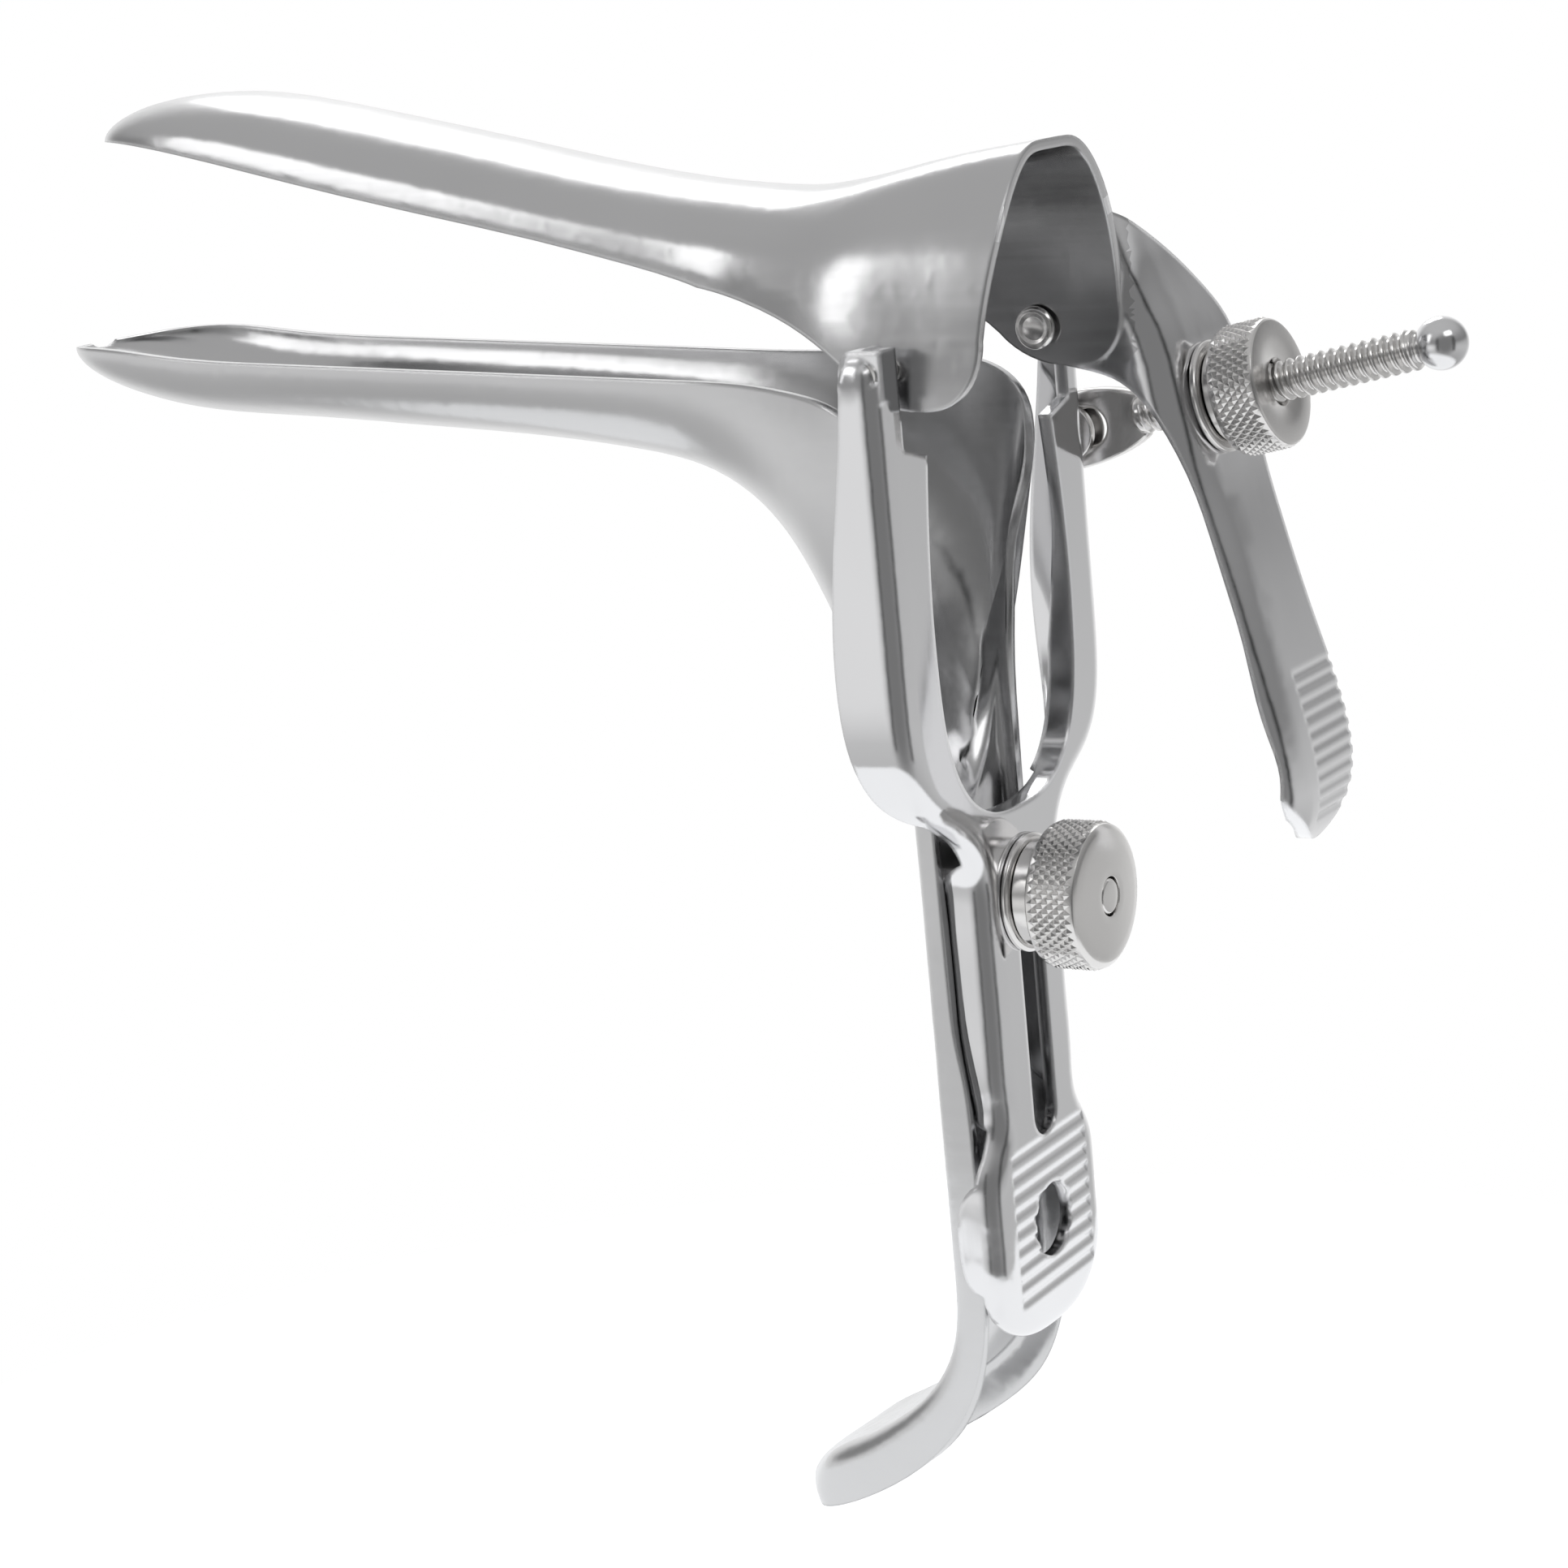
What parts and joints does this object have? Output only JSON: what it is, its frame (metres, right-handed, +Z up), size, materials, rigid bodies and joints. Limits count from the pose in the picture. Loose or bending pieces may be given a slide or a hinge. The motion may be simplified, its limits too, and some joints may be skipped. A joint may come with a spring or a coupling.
{
  "type": "bivalve speculum",
  "caption": "Narrow-bladed bivalve speculum: trough blades on a forked yoke with thumb lever, angle screw and clamp nut.",
  "frame": {"origin": "centre of the hang hole on the rear face of the yoke's shank", "axes": "+X to the operator's right, +Y forward to the blade tips, +Z up the shank"},
  "size_m": [0.0569, 0.1674, 0.1669],
  "materials": {
    "blade_steel": "polished outside, satin inside",
    "frame_steel": "mirror polish",
    "screw_steel": "turned, bright"
  },
  "bodies": {
    "lower": {"lower_blade": "blade_steel", "clamp_stud": "screw_steel"},
    "yoke": {"yoke": "frame_steel", "pivot_rivet_left": "frame_steel", "pivot_rivet_right": "frame_steel", "eye_rivet": "frame_steel"},
    "upper": {"upper_blade": "blade_steel"},
    "screw": {"angle_screw": "screw_steel", "stop_ball": "frame_steel"},
    "thrust": {"thrust_washer": "frame_steel"},
    "angle_nut": {"angle_nut": "screw_steel"},
    "clamp_washer": {"clamp_washer": "frame_steel"},
    "clamp_nut": {"clamp_nut": "screw_steel"}
  },
  "joints": [
    {"name": "lower_slide", "type": "slide", "parent": "yoke", "child": "lower", "axis": [0, 0, -1], "range_m": [0, 0.024]},
    {"name": "blade_hinge", "type": "hinge", "parent": "yoke", "child": "upper", "pos_m": [0, 0.0018, 0.0976], "axis": [1, 0, 0], "range_deg": [-12.5, 12]},
    {"name": "screw_swing", "type": "hinge", "parent": "yoke", "child": "screw", "pos_m": [0.025, 0.003, 0.0848], "axis": [1, 0, 0], "range_deg": [-12.5, 12]},
    {"name": "thrust_slide", "type": "slide", "parent": "screw", "child": "thrust", "axis": [0, -0.9816, 0.1908], "range_m": [-0.00255, 0.00266]},
    {"name": "angle_nut_spin", "type": "hinge", "parent": "thrust", "child": "angle_nut", "pos_m": [0.025, -0.01477, 0.08825], "axis": [0, -0.9816, 0.1908], "range_deg": [-735.89, 766.55]},
    {"name": "clamp_washer_slide", "type": "slide", "parent": "lower", "child": "clamp_washer", "axis": [0, -1, 0], "range_m": [0, 0.0008]},
    {"name": "clamp_nut_spin", "type": "hinge", "parent": "clamp_washer", "child": "clamp_nut", "pos_m": [0, -0.005, 0.0378], "axis": [0, -1, 0], "range_deg": [0, 360]}
  ],
  "couplings": [
    {"joint": "screw_swing", "follows": "blade_hinge", "ratio": 1},
    {"joint": "thrust_slide", "follows": "blade_hinge", "m_per_rad": -0.0122},
    {"joint": "angle_nut_spin", "follows": "blade_hinge", "ratio": -61.324},
    {"joint": "clamp_washer_slide", "follows": "clamp_nut_spin", "m_per_rad": 0.00012732}
  ]
}
